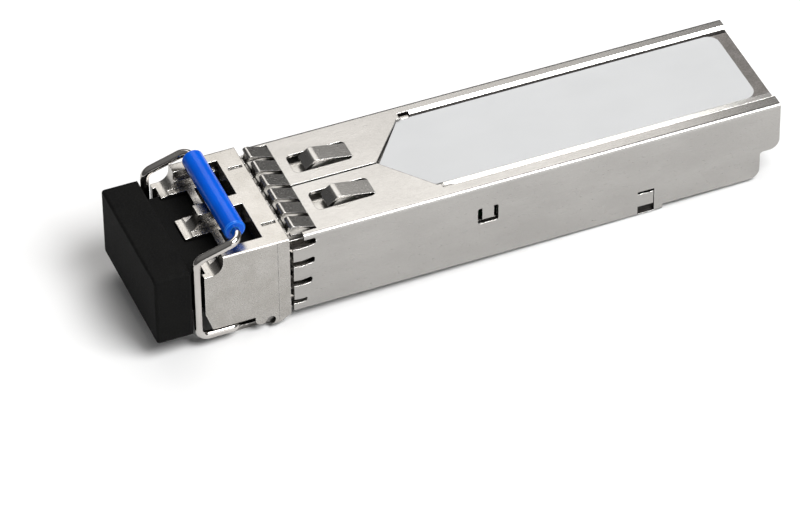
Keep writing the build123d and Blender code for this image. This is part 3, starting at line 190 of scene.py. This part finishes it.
finishes = {
    # Tin-plated steel strip, rolled and folded: satin and nearly white, grain along the strip, bends worn and
    # painted brighter as a painted highlight, and painted shade in its slots. The rolling grain is about 0.02
    # mm wide and is drawn at 0.09 mm to show.
    "tinPlatedRolledSteel": {
        "colour": "acaaa7", "drift": "a6a4a1", "grain": (0.5, 0.09, 0.09), "patch": (6, 2.5, 2.5),
        "speck": 0.16, "speckColour": "9b9895", "rough": 0.25, "spread": 0.03,
        "bump": 0.004, "bumpStrength": 0.25,
        "edge": 0.07, "edgeWearAndHighlightGain": 0.75, "edgeWearAndHighlightColour": "eceae7", "gapShade": 0.9, "gapShadeReach": 0.35,
        "shader": {"Metallic": 1.0},
    },
    # Zinc, die-cast, tumbled and nickel-plated: even pebbled grain of 0.1 mm, a little warmer than the sheet,
    # with painted shade in its ports and gaps
    "nickelPlatedDieCastZinc": {
        "colour": "b2afab", "drift": "a9a6a1", "grain": (0.11, 0.11, 0.11), "patch": (1.8, 1.8, 1.8),
        "speck": 0.30, "speckColour": "8f8b86", "rough": 0.28, "spread": 0.06,
        "bump": 0.010, "bumpStrength": 0.35,
        "edge": 0.07, "edgeWearAndHighlightGain": 0.8, "edgeWearAndHighlightColour": "f0eeea", "gapShade": 1.0, "gapShadeReach": 0.7,
        "shader": {"Metallic": 1.0},
    },
    # Stainless spring wire, hard drawn: nearly a mirror, with faint draw lines along it
    "drawnStainlessWire": {
        "colour": "c6c3bf", "drift": "bab6b2", "grain": (0.1, 0.1, 0.5), "patch": (2, 2, 2),
        "speck": 0.08, "speckColour": "8d8a86", "rough": 0.07, "spread": 0.02,
        "bump": 0.003, "bumpStrength": 0.2,
        "edge": 0.03, "edgeWearAndHighlightGain": 0.0, "shader": {"Metallic": 1.0},
    },
    # PVC tube, extruded: saturated blue and glossy and a little translucent, with its cut ends painted pale
    # blue as a painted highlight
    "extrudedPvcTube": {
        "colour": "0056cc", "drift": "004fc0", "grain": (0.25, 0.9, 0.25), "patch": (1.5, 3, 1.5),
        "speck": 0.08, "speckColour": "1560c4", "rough": 0.15, "spread": 0.02,
        "bump": 0.003, "bumpStrength": 0.25,
        "edge": 0.15, "edgeWearAndHighlightGain": 0.8, "edgeWearAndHighlightColour": "55b2f0",
        "shader": {"IOR": 1.54, "Specular IOR Level": 0.14, "Subsurface Weight": 0.12,
                   "Subsurface Scale": 0.0003, "Subsurface Radius": (0.3, 0.6, 1.0)},
    },
    # Acetal, moulded: black with a smooth, waxy gloss
    "mouldedAcetal": {
        "colour": "0c0c0c", "drift": "111111", "grain": (0.2, 0.2, 0.2), "patch": (0.8, 0.8, 0.8),
        "speck": 0.0, "rough": 0.18, "spread": 0.04, "bump": 0.004, "bumpStrength": 0.2,
        "edge": 0.12, "edgeWearAndHighlightGain": 0.2, "edgeWearAndHighlightColour": "262627", "shader": {"IOR": 1.48},
    },
    # Zinc casting of the latch, barrelled: darker and smoother than the nose
    "barrelledZincCasting": {
        "colour": "a19e9a", "drift": "918e8a", "grain": (0.12, 0.12, 0.12), "patch": (1, 1, 1),
        "speck": 0.25, "speckColour": "6c6966", "rough": 0.30, "spread": 0.06, "bump": 0.01,
        "edge": 0.08, "edgeWearAndHighlightGain": 0.7, "edgeWearAndHighlightColour": "dcdad7", "shader": {"Metallic": 1.0},
    },
    # Steel pin, centreless ground: mid grey with fine rings, with painted shade where it sits in its bore
    "centrelessGroundSteel": {
        "colour": "8b8987", "drift": "7d7b79", "grain": (0.05, 0.6, 0.05), "patch": (1, 1, 1),
        "speckColour": "5a5856", "rough": 0.22, "bump": 0.004,
        "edge": 0.06, "edgeWearAndHighlightGain": 0.8, "edgeWearAndHighlightColour": "c9c7c5", "gapShade": 1.0, "gapShadeReach": 0.8,
        "shader": {"Metallic": 1.0},
    },
    # Spring steel strip, rolled and tempered: straw-grey with fine rolling lines
    "temperedSpringSteel": {
        "colour": "a19d97", "drift": "8f8b85", "grain": (0.5, 0.06, 0.06), "patch": (0.8, 0.8, 0.8),
        "speckColour": "6c6965", "rough": 0.26, "spread": 0.05, "bump": 0.004,
        "edge": 0.03, "edgeWearAndHighlightColour": "dddbd9", "shader": {"Metallic": 1.0},
    },
    # The same strip painted much lighter beside the label, as a painted highlight: almost a mirror
    "highlightPaintedTinPlate": {
        "colour": "e9e7e4", "drift": "e2e0dd", "grain": (0.8, 0.08, 0.08), "patch": (4, 1, 1),
        "speck": 0.08, "speckColour": "bdbbb8", "rough": 0.2, "spread": 0.03, "bump": 0.003,
        "edge": 0.03, "shader": {"Metallic": 1.0},
    },
    # The same strip where the shear has scuffed it behind the label: dull grey with a coarse grain
    "scuffedTinPlate": {
        "colour": "a19d9a", "drift": "918d8a", "grain": (0.11, 0.11, 0.11), "patch": (1, 1, 1),
        "speck": 0.5, "speckColour": "5d5a58", "rough": 0.42, "spread": 0.06, "bump": 0.008,
        "edge": 0.03, "shader": {"Metallic": 1.0},
    },
    # Plated metal painted nearly black, as painted shade in a gap
    "shadePaintedTinPlate": {
        "colour": "2a2827", "drift": "1f1e1d", "grain": (0.15, 0.15, 0.15), "patch": (1, 1, 1),
        "speck": 0.3, "speckColour": "0e0d0d", "rough": 0.5, "spread": 0.08, "bump": 0.008,
        "edge": 0.03, "edgeWearAndHighlightGain": 0.0, "shader": {"Metallic": 1.0},
    },
    # Polyester film, matt coated: pale neutral grey with a tooth of 0.05 mm, drawn at 0.1 mm to show
    "mattPolyesterFilm": {
        "colour": "babbbc", "drift": "b7b8b9", "grain": (0.10, 0.10, 0.10), "patch": (7, 4, 4),
        "speck": 0.10, "speckColour": "b4b5b6", "rough": 0.55, "spread": 0.04, "bump": 0.004,
        "edge": 0.04, "edgeWearAndHighlightColour": "dedede", "shader": {"IOR": 1.5, "Specular IOR Level": 0.3},
    },
    # EPDM rubber, moulded in a spark-eroded tool: matt black with a fine even tooth of 0.1 mm, and painted
    # shade in its gaps
    "mouldedEpdmRubber": {
        "colour": "0a0a0a", "drift": "0e0e0d", "grain": (0.12, 0.12, 0.12), "patch": (2.5, 2.5, 2.5),
        "speck": 0.7, "speckColour": "1d1d1d", "rough": 0.75, "spread": 0.10,
        "bump": 0.03, "bumpStrength": 0.5,
        "edge": 0.14, "edgeWearAndHighlightGain": 0.4, "edgeWearAndHighlightColour": "1c1c1c", "gapShade": 0.8, "gapShadeColour": "020202",
        "shader": {"IOR": 1.5, "Specular IOR Level": 0.06},
    },
    # Glass laminate under green solder mask, screened: glossy, with the weave's 0.45 mm ribs just showing
    "solderMaskedLaminate": {
        "colour": "0f5a30", "drift": "0b4a27", "grain": (0.35, 0.35, 0.35), "patch": (2, 0.6, 2),
        "speck": 0.15, "speckColour": "1b7642", "rough": 0.28, "spread": 0.06, "ridges": ("X", 0.45, 0.5),
        "edge": 0.05, "edgeWearAndHighlightColour": "8f9a5e",
        "shader": {"IOR": 1.52, "Coat Weight": 0.3, "Coat Roughness": 0.1},
    },
    # Hard gold over nickel, electroplated: warm and satin, wiped smooth lengthwise by the connector
    "electroplatedHardGold": {
        "colour": "e3bd68", "drift": "d4aa55", "grain": (0.8, 0.08, 0.08), "patch": (1, 1, 1),
        "speck": 0.15, "speckColour": "b98d3c", "rough": 0.24, "spread": 0.06, "bump": 0.002,
        "edge": 0.02, "edgeWearAndHighlightColour": "f2d48c", "shader": {"Metallic": 1.0},
    },
    # Stainless bar, turned: rings round the axis at the tool's feed, drawn at 0.12 mm
    "turnedStainlessBar": {
        "colour": "bbb9b5", "drift": "adaba7", "grain": (0.07, 0.5, 0.5), "patch": (1.2, 1.2, 1.2),
        "speck": 0.12, "speckColour": "8a8783", "rough": 0.24, "spread": 0.06, "ridges": ("X", 0.12, 0.6),
        "edge": 0.05, "edgeWearAndHighlightGain": 0.7, "edgeWearAndHighlightColour": "efedea", "shader": {"Metallic": 1.0},
    },
    # Kovar can, deep drawn and gold-flashed: pale gold, softly dimpled
    "goldFlashedDrawnKovar": {
        "colour": "dccb9a", "drift": "cdb981", "grain": (0.3, 0.3, 0.3), "patch": (1.2, 1.2, 1.2),
        "speckColour": "a8935c", "rough": 0.24, "bump": 0.006,
        "edge": 0.06, "edgeWearAndHighlightGain": 0.6, "edgeWearAndHighlightColour": "f1e6c4", "shader": {"Metallic": 1.0},
    },
    # Zirconia, sintered and ground: off-white, smooth and slightly translucent
    "groundZirconia": {
        "colour": "efece4", "drift": "e6e2d8", "grain": (0.15, 0.15, 0.15), "patch": (1, 1, 1),
        "speck": 0.05, "speckColour": "d3cec1", "rough": 0.20, "spread": 0.04, "bump": 0.002,
        "edge": 0.04, "edgeWearAndHighlightColour": "fbfaf6",
        "shader": {"IOR": 2.1, "Subsurface Weight": 0.15, "Subsurface Scale": 0.0003},
    },
    # Polyimide film laminated over copper tracks: amber with a soft gloss and tracks at 0.5 mm pitch
    "laminatedPolyimide": {
        "colour": "b87524", "drift": "a9661b", "grain": (0.4, 0.12, 0.4), "patch": (1, 0.5, 1),
        "speck": 0.3, "speckColour": "d99a49", "rough": 0.30, "bump": 0.008, "ridges": ("Y", 0.5, 0.6),
        "edge": 0.03, "edgeWearAndHighlightColour": "e2b06a",
        "shader": {"IOR": 1.7, "Coat Weight": 0.2, "Coat Roughness": 0.1},
    },
    # Steel plate, blanked: satin with fine rolling grain and bright sheared edges
    "blankedSteelPlate": {
        "colour": "b7b5b1", "drift": "a9a7a3", "grain": (0.6, 0.09, 0.09), "patch": (1.5, 1.5, 1.5),
        "speck": 0.15, "speckColour": "83807c", "rough": 0.30, "bump": 0.008,
        "edge": 0.05, "edgeWearAndHighlightGain": 0.7, "edgeWearAndHighlightColour": "e9e7e4", "shader": {"Metallic": 1.0},
    },
    # Epoxy packages, transfer moulded: near black and matt, peened by the tool
    "transferMouldedEpoxy": {
        "colour": "1a1a1c", "drift": "1f1f22", "grain": (0.10, 0.10, 0.10), "patch": (1, 1, 1),
        "speck": 0.3, "speckColour": "313134", "rough": 0.55, "spread": 0.08,
        "bump": 0.012, "bumpStrength": 0.4,
        "edge": 0.05, "edgeWearAndHighlightColour": "3a3a3e", "shader": {"IOR": 1.55},
    },
    # Barium titanate capacitors, pressed and fired: sandy brown and slightly grainy
    "firedTitanateCeramic": {
        "colour": "9c7a56", "drift": "8b6a48", "grain": (0.08, 0.08, 0.08), "patch": (0.5, 0.5, 0.5),
        "speck": 0.3, "speckColour": "b7966f", "rough": 0.45, "spread": 0.08, "bumpStrength": 0.4,
        "edge": 0.05, "edgeWearAndHighlightColour": "c4a683", "shader": {"IOR": 1.6},
    },
    # Alumina resistors under a fired glaze: dark and glassy
    "glazedAlumina": {
        "colour": "26272b", "drift": "2e2f34", "grain": (0.08, 0.08, 0.08), "patch": (0.5, 0.5, 0.5),
        "speck": 0.15, "speckColour": "46474e", "rough": 0.26, "bump": 0.004,
        "edge": 0.05, "edgeWearAndHighlightColour": "8b8c90", "shader": {"IOR": 1.6},
    },
}

# The record's material slots and what each is made of
finishOfSlot = {
    "cover_sheet": "tinPlatedRolledSteel", "casting": "nickelPlatedDieCastZinc",
    "wire": "drawnStainlessWire", "sleeve": "extrudedPvcTube", "cams": "mouldedAcetal",
    "latch_metal": "barrelledZincCasting", "pin_steel": "centrelessGroundSteel",
    "spring_steel": "temperedSpringSteel", "label_film": "mattPolyesterFilm",
    "rubber": "mouldedEpdmRubber", "board": "solderMaskedLaminate", "gold": "electroplatedHardGold",
    "barrel_metal": "turnedStainlessBar", "can_metal": "goldFlashedDrawnKovar",
    "ceramic": "groundZirconia", "flex_film": "laminatedPolyimide", "clamp_sheet": "blankedSteelPlate",
    "chip_resin": "transferMouldedEpoxy", "capacitor_body": "firedTitanateCeramic",
    "resistor_body": "glazedAlumina",
}
materials = {name: finishOf(name, {**plainLook, **look}) for name, look in finishes.items()}
print("finishes made:", len(materials))

slotOf = {row["node"]: row["material_slot"] for row in frame["record"]["subparts"]}
for nodeName, nodeObject in nodes.items():
    nodeObject.data.materials.clear()
    nodeObject.data.materials.append(materials[finishOfSlot[slotOf[nodeName]]])
print("CAD nodes dressed:", len(nodes))


sharpAngle = 32  # degrees between two faces, past which their edge stays sharp
mergeWithin = 0.0001  # mm between points that are one


def mergePoints(mesh, turnOutward=True):
    working = bmesh.new()
    working.from_mesh(mesh)
    bmesh.ops.remove_doubles(working, verts=working.verts, dist=mergeWithin * mm)
    if turnOutward:
        bmesh.ops.recalc_face_normals(working, faces=working.faces)
    working.to_mesh(mesh)
    working.free()


def superellipse(count, power, firstAngle=0.0):
    # A ring of points: each of cos and sin of the angle keeps its sign and is raised to the power, so that a
    # small power gives nearly a square with round corners
    angle = np.linspace(0, 2 * math.pi, count, endpoint=False) + firstAngle
    ring = np.stack([np.cos(angle), np.sin(angle)], axis=-1)
    return np.sign(ring) * np.abs(ring) ** power


def surfacePiece(name, points, finish):
    # Rings of points in mm, each closed on itself, carried along and drawn to their middle at both ends:
    # quads between neighbours along both ways, then seams and poles merged and faces turned outward
    ends = [np.repeat(points[i].mean(axis=0)[None, None], points.shape[1], axis=1) for i in (0, -1)]
    points = np.concatenate([ends[0], points, ends[1]])
    rows, columns = points.shape[:2]
    index = np.arange(rows * columns).reshape(rows, columns)
    nextIndex = np.roll(index, -1, axis=1)
    quads = np.stack([index[:-1], index[1:], nextIndex[1:], nextIndex[:-1]], axis=-1).reshape(-1, 4)
    mesh = bpy.data.meshes.new(name)
    mesh.from_pydata((points.reshape(-1, 3) * mm).tolist(), [], quads.tolist())
    mergePoints(mesh)
    mesh.materials.append(materials[finish])
    mesh.shade_smooth()
    mesh.set_sharp_from_angle(angle=math.radians(sharpAngle))
    piece = bpy.data.objects.new(name, mesh)
    bpy.context.scene.collection.objects.link(piece)
    piece.modifiers.new("ledNormals", "WEIGHTED_NORMAL").keep_sharp = True  # large faces lead the normals
    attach(piece, "module")
    return piece


def carriedBar(name, lengths, section, finish):
    # One closed section of (y, z) points carried along x
    points = np.empty((len(lengths), len(section), 3))
    points[..., 0] = lengths[:, None]
    points[..., 1:] = section
    return surfacePiece(name, points, finish)


# The cover as the press leaves it: folds tighter than the solid's, the label's recess with wide flat borders
# and steep sides, and the flank's slots opened; mm
pressedCover = {
    "half": 6.7, "height": 8.5,
    "foldRadius": 0.5, "foldDepth": 0.02, "topFoldTo": 0.8, "bottomFoldTo": 0.5,
    "recessStart": -4.06, "recessLow": 7.75,
    "sidesFrom": (4.86, 5.1, 5.4, 5.8, 6.1, 6.2),
    "nearTo": (4.86, 5.1, 5.25, 5.32, 5.6, 6.2),
    "farTo": (4.86, 5.38, 5.5, 5.57, 5.8, 6.2),
    "slots": (7.65, 5.6, 3.4, 1.2), "slotRear": -16.0, "slotReach": 0.3, "slotSpread": 1.5,
    "flankDepth": 0.35,
}


def pressCover(values):
    # A merged copy of the solid's mesh. Outer points of a fold move towards its sharp corner by corner +
    # k * (point - corner). Points of the recess slide across by a piecewise straight function of |y|.
    cover = nodes["shell_cover"].copy()
    cover.data = nodes["shell_cover"].data.copy()
    cover.name = cover.data.name = "pressedCover"
    bpy.context.scene.collection.objects.link(cover)
    # The solid's own normals are kept corner by corner: a fold drawn in to its corner still has them
    normals = np.empty(3 * len(cover.data.loops), dtype=np.float32)
    cover.data.corner_normals.foreach_get("vector", normals)
    mergePoints(cover.data, turnOutward=False)
    flat = np.empty(3 * len(cover.data.vertices), dtype=np.float32)
    cover.data.vertices.foreach_get("co", flat)
    points = flat.reshape(-1, 3).astype(float) / mm
    side = np.sign(points[:, 1])
    across = np.abs(points[:, 1])
    half, radius = values["half"], values["foldRadius"]
    beyond, slack = 99, 0.001  # mm, farther out than the cover, and what rounding may cost
    inRecess = (points[:, 0] > values["recessStart"]) & (points[:, 2] > values["recessLow"])
    for here, sidesTo in ((side < 0, values["nearTo"]), (side > 0, values["farTo"])):
        slid = np.interp(across, (0, *values["sidesFrom"], beyond), (0, *sidesTo, beyond))
        across = np.where(inRecess & here, slid, across)
    # The flank's slots open by their spread: middle + spread * (z - middle)
    onFlank = (points[:, 0] < values["slotRear"]) & (across > half - values["flankDepth"])
    for middle in values["slots"]:
        atSlot = onFlank & (np.abs(points[:, 2] - middle) < values["slotReach"])
        opened = middle + values["slotSpread"] * (points[:, 2] - middle)
        points[:, 2] = np.where(atSlot, opened, points[:, 2])
    folds = ((values["height"], -1, values["topFoldTo"]), (0.0, 1, values["bottomFoldTo"]))
    for corner, towards, k in folds:
        centre = (half - radius, corner + towards * radius)
        inFold = (across > centre[0] - slack) & ((points[:, 2] - centre[1]) * towards < slack)
        inFold &= np.hypot(across - centre[0], points[:, 2] - centre[1]) > radius - values["foldDepth"]
        inFold &= across < half + slack
        across = np.where(inFold, half + k * (across - half), across)
        points[:, 2] = np.where(inFold, corner + k * (points[:, 2] - corner), points[:, 2])
    points[:, 1] = side * across
    cover.data.vertices.foreach_set("co", (points * mm).astype(np.float32).ravel())
    cover.data.update()
    cover.data.normals_split_custom_set(normals.reshape(-1, 3).tolist())
    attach(cover, "module")
    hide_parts("shell_cover")


pressCover(pressedCover)

# Bare film, laid nearer to the far side of its recess; mm, and the rows along its front, sides and corners
labelFilm = {
    "apex": -8.0, "shoulder": -4.25, "rear": 27.05, "far": 5.04, "near": 4.35, "cornerRadius": 1.1,
    "low": 8.1, "high": 8.2,
    "rows": (24, 40, 12), "columns": 64, "rimPower": 1 / 12,
}


def makeLabel(values):
    # Half width at x is the lesser of the straight side and the slanted front, less the round rear corner's
    # inset. Its section is a superellipse with a small power, so that only the rim is round.
    slope = values["far"] / (values["shoulder"] - values["apex"])
    roundness = values["cornerRadius"]
    cornerStart = values["rear"] - roundness
    frontRows, sideRows, cornerRows = values["rows"]
    lengths = np.concatenate([
        np.linspace(values["apex"], values["shoulder"], frontRows),
        np.linspace(values["shoulder"], cornerStart, sideRows)[1:],
        cornerStart + roundness * np.sin(np.linspace(0, math.pi / 2, cornerRows))[1:],
    ])
    past = np.clip(lengths - cornerStart, 0, roundness)
    inset = roundness - np.sqrt(np.maximum(roundness ** 2 - past ** 2, 0))
    near, far = [np.minimum((lengths - values["apex"]) * slope, values[side]) - inset
                 for side in ("near", "far")]
    columns = values["columns"]
    share, lift = ((1 + superellipse(columns, values["rimPower"], math.pi / columns)) / 2).T
    ys = -near[:, None] + (near + far)[:, None] * share
    zs = np.broadcast_to(values["low"] + (values["high"] - values["low"]) * lift, ys.shape)
    xs = np.broadcast_to(lengths[:, None], ys.shape)
    film = surfacePiece("labelFilm", np.stack([xs, ys, zs], axis=-1), "mattPolyesterFilm")
    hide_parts("label")


makeLabel(labelFilm)

# Margins of the recess that the film leaves bare: the near one painted light as a painted highlight, the far
# one painted nearly black as painted shade; mm
recessMargins = {
    "nearSide": {"x": (-3.7, 28.24), "y": (-5.2, -4.3), "z": (8.02, 8.13), "finish": "highlightPaintedTinPlate"},
    "farSide": {"x": (-4.0, 28.24), "y": (5.0, 5.42), "z": (8.02, 8.12), "finish": "shadePaintedTinPlate"},
    "rearEnd": {"x": (26.2, 28.24), "y": (-4.4, 5.1), "z": (8.02, 8.11), "finish": "scuffedTinPlate"},
}


def makeMargins(margins, rows=12, columns=48, rimPower=1 / 10):
    # A flat strip with rounded rims: middle + superellipse * half size, across and up
    ring = superellipse(columns, rimPower, math.pi / columns)
    for name, values in margins.items():
        sizes = np.array([values["y"], values["z"]])
        section = sizes.sum(axis=1) / 2 + ring * (sizes[:, 1] - sizes[:, 0]) / 2
        carriedBar(name + "Margin", np.linspace(*values["x"], rows), section, values["finish"])


# The recess's sides, as (y, z) from their top to their brink; mm
recessLips = {
    "x": (-2.93, 28.24), "foot": 8.05,
    "far": {"side": 1, "top": (5.57, 8.512), "brink": (5.3, 8.28)},
    "near": {"side": -1, "top": (5.34, 8.512), "brink": (5.05, 8.28)},
    "buried": (0.05, -0.03),
    "rounding": ((0.03, 0.02), (0.008, -0.002), (0, -0.03)),
}


def makeLips(values, rows=16):
    # Painted light as a painted highlight where the press drew the sheet in: a slope from the top to its
    # brink, which three points round off, then straight down to the foot. Behind them it stands inside the
    # sheet.
    for name in ("far", "near"):
        lip = values[name]
        top, brink = np.array(lip["top"]), np.array(lip["brink"])
        back = top + values["buried"]
        section = np.array([
            back, top, *(brink + values["rounding"]), (brink[0], values["foot"]), (back[0], values["foot"]),
        ]) * (lip["side"], 1)
        lengths = np.linspace(*values["x"], rows)
        carriedBar(name + "RecessLip", lengths, section, "highlightPaintedTinPlate")


# Blocks behind the catch windows, painted nearly black as the painted shade of the casting's hollows there;
# mm
catchShadeBlocks = {"x": (14.2, 16.0), "y": (6.2, 6.37), "z": (0.3, 2.9), "crown": 0.02}


def makeCatchShadeBlocks(values, rows=6, columns=9):
    # A block with a dished face: y - crown * (1 - t * t), t from -1 at the foot to 1 at the head
    t = np.linspace(-1, 1, columns)
    low, high = values["z"]
    inner, outer = values["y"]
    for name, side in (("far", 1), ("near", -1)):
        faceY = side * (outer - values["crown"] * (1 - t ** 2))
        faceZ = (low + high) / 2 + t * (high - low) / 2
        back = np.array([(side * inner, high), (side * inner, low)])
        section = np.concatenate([np.stack([faceY, faceZ], axis=-1), back])
        lengths = np.linspace(*values["x"], rows)
        carriedBar(name + "CatchShadeBlock", lengths, section, "shadePaintedTinPlate")


# Cast rests that show through the cover's bend reliefs; mm
reliefRests = {"x": (-3.98, -3.02), "y": (4.92, 5.38), "z": (7.6, 8.3), "corner": 0.12}


def makeRests(values, columns=48, sidePower=1 / 3, cornerRows=7):
    # A rounded pillar: a superellipse carried up, drawn in over a quarter circle at the top and closed
    ring = superellipse(columns, sidePower)
    turn = np.linspace(0, math.pi / 2, cornerRows)
    low, high = values["z"]
    r = values["corner"]
    insets = np.concatenate([[0.0], r * (1 - np.cos(turn))])
    heights = np.concatenate([[low], high - r + r * np.sin(turn)])
    halves = np.array([(values[axis][1] - values[axis][0]) / 2 for axis in ("x", "y")])
    for name, side in (("far", 1), ("near", -1)):
        centre = np.array([sum(values["x"]) / 2, side * sum(values["y"]) / 2])
        flat = centre + ring[None] * (halves - insets[:, None])[:, None]
        lifted = np.broadcast_to(heights[:, None, None], flat.shape[:2] + (1,))
        points = np.concatenate([flat, lifted], axis=-1)
        surfacePiece(name + "ReliefRest", points, "nickelPlatedDieCastZinc")


makeMargins(recessMargins)
makeLips(recessLips)
makeCatchShadeBlocks(catchShadeBlocks)
makeRests(reliefRests)
print("cover, label and margins made")

# Pale paper floor, which meets the bail's hinge in front and the body's edge behind; mm
floorSheet = {
    "front": (-24.4, -1.22),
    "rear": (16.75, -0.02),
    "half": 3000,
    "colour": "ececec",
    "tooth": "e9e9e9",
}


def makeFloor(values):
    # A plane through two heights along x: z = front + (x - xFront) * slope, far wider than the picture
    (xFront, zFront), (xRear, zRear) = values["front"], values["rear"]
    slope = (zRear - zFront) / (xRear - xFront)
    ends = np.array([-values["half"], values["half"]])
    xs, ys = np.meshgrid(ends, ends, indexing="ij")
    points = np.stack([xs, ys, zFront + (xs - xFront) * slope], axis=-1).reshape(-1, 3) * mm
    mesh = bpy.data.meshes.new("floor")
    mesh.from_pydata(points.tolist(), [], [(0, 2, 3, 1)])
    floor = bpy.data.objects.new("floor", mesh)
    bpy.context.scene.collection.objects.link(floor)
    paper = {"colour": values["colour"], "drift": values["tooth"], "speckColour": values["tooth"],
             "grain": (1.5, 1.5, 1.5), "patch": (40, 40, 40), "rough": 0.9, "bump": 0.0, "edgeWearAndHighlightGain": 0.0,
             "shader": {"Specular IOR Level": 0.0}}
    # Matt paper, calendered: even white with a barely visible tooth
    mesh.materials.append(finishOf("calenderedPaper", {**plainLook, **paper}))


makeFloor(floorSheet)

# Soft studio light: a large key above the near side, a softbox that the top mirrors, a low reflector that the
# near fold mirrors, and a surround that brightens upwards between three heights. Radiance is what a mirror
# would show; places in mm.
studio = {
    "horizon": 0.12,
    "middle": 0.10,
    "overhead": 0.02,
    "bands": (0.42, 0.64, 0.92),
    "surround": "ffffff",
    "lamps": {
        "keySoftbox": {"from": (0.27, -0.48, 0.84), "distance": 460, "aim": (-5, 0, 4), "size": 250,
                       "radiance": 13.0, "colour": "ffffff"},
        "topSoftbox": {"from": (0.278, 0.696, 0.662), "distance": 120, "aim": (-30.7, -23.5, 33.7),
                       "size": 100, "radiance": 2.25, "colour": "fffdfa"},
        "nearReflector": {"from": (0.28, -0.93, 0.25), "distance": 400, "aim": (-5, 0, 4), "size": 200,
                          "radiance": 1.6, "colour": "ffffff"},
    },
}


def makeLight(values):
    # Square lamps stand at aim + distance * direction and face the aim; power = radiance * area * pi
    for name, lamp in values["lamps"].items():
        data = bpy.data.lights.new(name, "AREA")
        data.size = lamp["size"] * mm
        data.energy = lamp["radiance"] * data.size ** 2 * math.pi
        data.color = linear(lamp["colour"])[:3]
        placed = bpy.data.objects.new(name, data)
        direction = Vector(lamp["from"]).normalized()
        place = (Vector(lamp["aim"]) + lamp["distance"] * direction) * mm
        facing = direction.to_track_quat("Z", "Y").to_matrix().to_4x4()
        placed.matrix_world = Matrix.Translation(place) @ facing
        placed.visible_camera = False
        bpy.context.scene.collection.objects.link(placed)
    # The surround's strength follows the height z of each direction, smoothly between its bands
    horizonTop, middleTop, overheadTop = values["bands"]
    world = bpy.data.worlds.new("softSurround")
    world.use_nodes = True
    tree = world.node_tree
    tree.nodes.clear()
    direction = addNode(tree, "ShaderNodeTexCoord").outputs["Generated"]
    height = addNode(tree, "ShaderNodeSeparateXYZ", {0: direction}).outputs["Z"]
    low = addNode(tree, "ShaderNodeMapRange", {
        "Value": height, "From Min": horizonTop, "From Max": middleTop,
        "To Min": values["horizon"], "To Max": values["horizon"] + values["middle"],
    }, interpolation_type="SMOOTHSTEP").outputs["Result"]
    high = addNode(tree, "ShaderNodeMapRange", {
        "Value": height, "From Min": middleTop, "From Max": overheadTop,
        "To Min": 0.0, "To Max": values["overhead"],
    }, interpolation_type="SMOOTHSTEP").outputs["Result"]
    strength = addNode(tree, "ShaderNodeMath", {0: low, 1: high}, operation="ADD").outputs["Value"]
    glow = addNode(tree, "ShaderNodeBackground", {
        "Color": linear(values["surround"]), "Strength": strength,
    })
    addNode(tree, "ShaderNodeOutputWorld", {"Surface": glow.outputs["Background"]})
    bpy.context.scene.world = world


makeLight(studio)
bpy.context.scene.view_settings.view_transform = "Standard"
print("studio ready")
